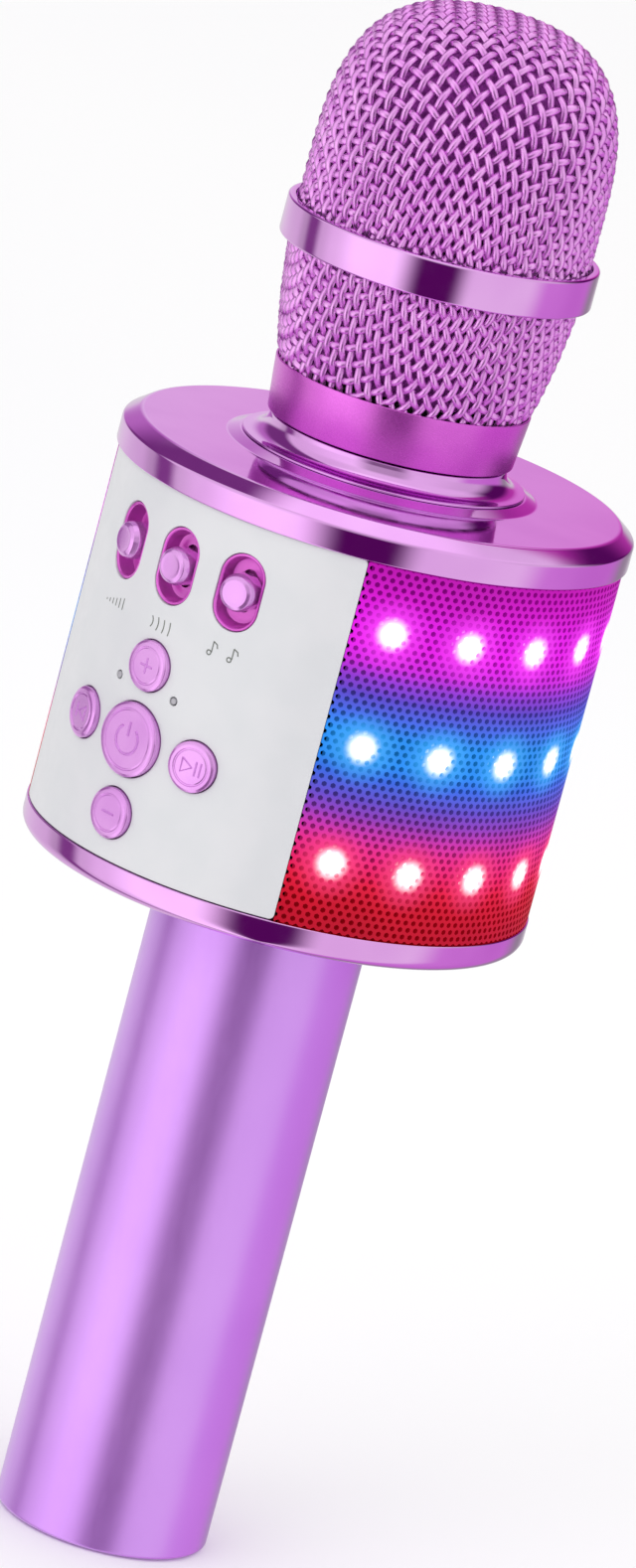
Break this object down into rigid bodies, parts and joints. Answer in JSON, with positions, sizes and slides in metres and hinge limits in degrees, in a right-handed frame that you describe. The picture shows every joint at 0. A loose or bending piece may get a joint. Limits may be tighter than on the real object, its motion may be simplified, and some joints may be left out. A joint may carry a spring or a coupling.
{
  "type": "toy karaoke microphone",
  "caption": "Hand-held toy karaoke microphone with a mesh ball head, a speaker barrel with lit grille and control panel, and a plain round handle.",
  "frame": {"origin": "centre of the flat end of the handle, on which the microphone stands", "axes": "+Z runs along the handle towards the ball head; -Y is the way the control panel faces"},
  "size_m": [0.08, 0.0807, 0.2453],
  "materials": {
    "handle_aluminium": "satin lavender anodised",
    "purple_chrome": "purple chrome plating on plastic",
    "collar_satin": "satin metallic magenta-purple",
    "head_mesh": "woven wire, metallic lilac-pink",
    "grille": "perforated sheet, dark purple",
    "panel_white": "light grey-white, low sheen",
    "button_lilac": "lilac chrome plating",
    "well_magenta": "deep magenta chrome plating",
    "black_plastic": "fine satin",
    "diffuser": "translucent milky white",
    "led_strip": "white flexible circuit with lamps",
    "board_green": "solder mask",
    "steel": "bright",
    "nickel_shell": "stamped and plated",
    "foam": "open-cell foam, dark purple",
    "cell_wrap": "blue shrink wrap",
    "speaker_black": "pressed basket and paper cone",
    "wire_black": "insulated wire"
  },
  "bodies": {
    "microphone": {"handle_tube": "handle_aluminium", "handle_plug": "black_plastic", "battery_cell": "cell_wrap", "battery_sleeve": "black_plastic", "battery_lead": "wire_black", "bottom_cap": "purple_chrome", "usb_port": "nickel_shell", "card_slot": "nickel_shell", "aux_socket": "black_plastic", "chassis_screw_1": "steel", "chassis_screw_2": "steel", "chassis_screw_3": "steel", "chassis": "black_plastic", "control_panel": "panel_white", "indicator_left": "diffuser", "indicator_right": "diffuser", "key_board": "board_green", "main_board": "board_green", "speaker_left": "speaker_black", "speaker_right": "speaker_black", "led_strip_upper": "led_strip", "led_strip_middle": "led_strip", "led_strip_lower": "led_strip", "light_diffuser": "diffuser", "speaker_grille": "grille", "top_cap": "purple_chrome", "neck_ring": "purple_chrome", "neck_spigot": "black_plastic", "capsule_cup": "black_plastic", "mic_capsule": "nickel_shell", "capsule_lead": "wire_black", "power_switch": "black_plastic", "up_switch": "black_plastic", "down_switch": "black_plastic", "left_switch": "black_plastic", "right_switch": "black_plastic", "volume_well": "well_magenta", "volume_control": "nickel_shell", "echo_well": "well_magenta", "echo_control": "nickel_shell", "music_well": "well_magenta", "music_control": "nickel_shell"},
    "head": {"head_collar": "collar_satin", "head_cone_mesh": "head_mesh", "head_band": "purple_chrome", "head_dome_mesh": "head_mesh", "foam_liner": "foam"},
    "head_thread": {"head_insert": "black_plastic"},
    "power_button": {"power_button": "button_lilac"},
    "up_button": {"up_button": "button_lilac"},
    "down_button": {"down_button": "button_lilac"},
    "left_button": {"left_button": "button_lilac"},
    "right_button": {"right_button": "button_lilac"},
    "volume_slider": {"volume_knob": "button_lilac"},
    "echo_slider": {"echo_knob": "button_lilac"},
    "music_slider": {"music_knob": "button_lilac"}
  },
  "joints": [
    {"name": "head_rise", "type": "slide", "parent": "microphone", "child": "head_thread", "axis": [0, 0, 1], "range_m": [0, 0.0045]},
    {"name": "head_unscrew", "type": "hinge", "parent": "head_thread", "child": "head", "pos_m": [0, 0, 0.1832], "axis": [0, 0, 1], "range_deg": [0, 1080]},
    {"name": "power_press", "type": "slide", "parent": "microphone", "child": "power_button", "axis": [0, 1, 0], "range_m": [0, 0.0007], "stiffness_N_per_m": 1500},
    {"name": "up_press", "type": "slide", "parent": "microphone", "child": "up_button", "axis": [0, 1, 0], "range_m": [0, 0.0007], "stiffness_N_per_m": 1500},
    {"name": "down_press", "type": "slide", "parent": "microphone", "child": "down_button", "axis": [0, 1, 0], "range_m": [0, 0.0007], "stiffness_N_per_m": 1500},
    {"name": "left_press", "type": "slide", "parent": "microphone", "child": "left_button", "axis": [0.299, 0.9542, 0], "range_m": [0, 0.0007], "stiffness_N_per_m": 1500},
    {"name": "right_press", "type": "slide", "parent": "microphone", "child": "right_button", "axis": [-0.299, 0.9542, 0], "range_m": [0, 0.0007], "stiffness_N_per_m": 1500},
    {"name": "volume_slide", "type": "slide", "parent": "microphone", "child": "volume_slider", "axis": [0, 0, 1], "range_m": [-0.0022, 0.0022]},
    {"name": "echo_slide", "type": "slide", "parent": "microphone", "child": "echo_slider", "axis": [0, 0, 1], "range_m": [-0.0022, 0.0022]},
    {"name": "music_slide", "type": "slide", "parent": "microphone", "child": "music_slider", "axis": [0, 0, 1], "range_m": [-0.0022, 0.0022]}
  ],
  "couplings": [
    {"joint": "head_unscrew", "follows": "head_rise", "rad_per_m": 4188.8}
  ]
}
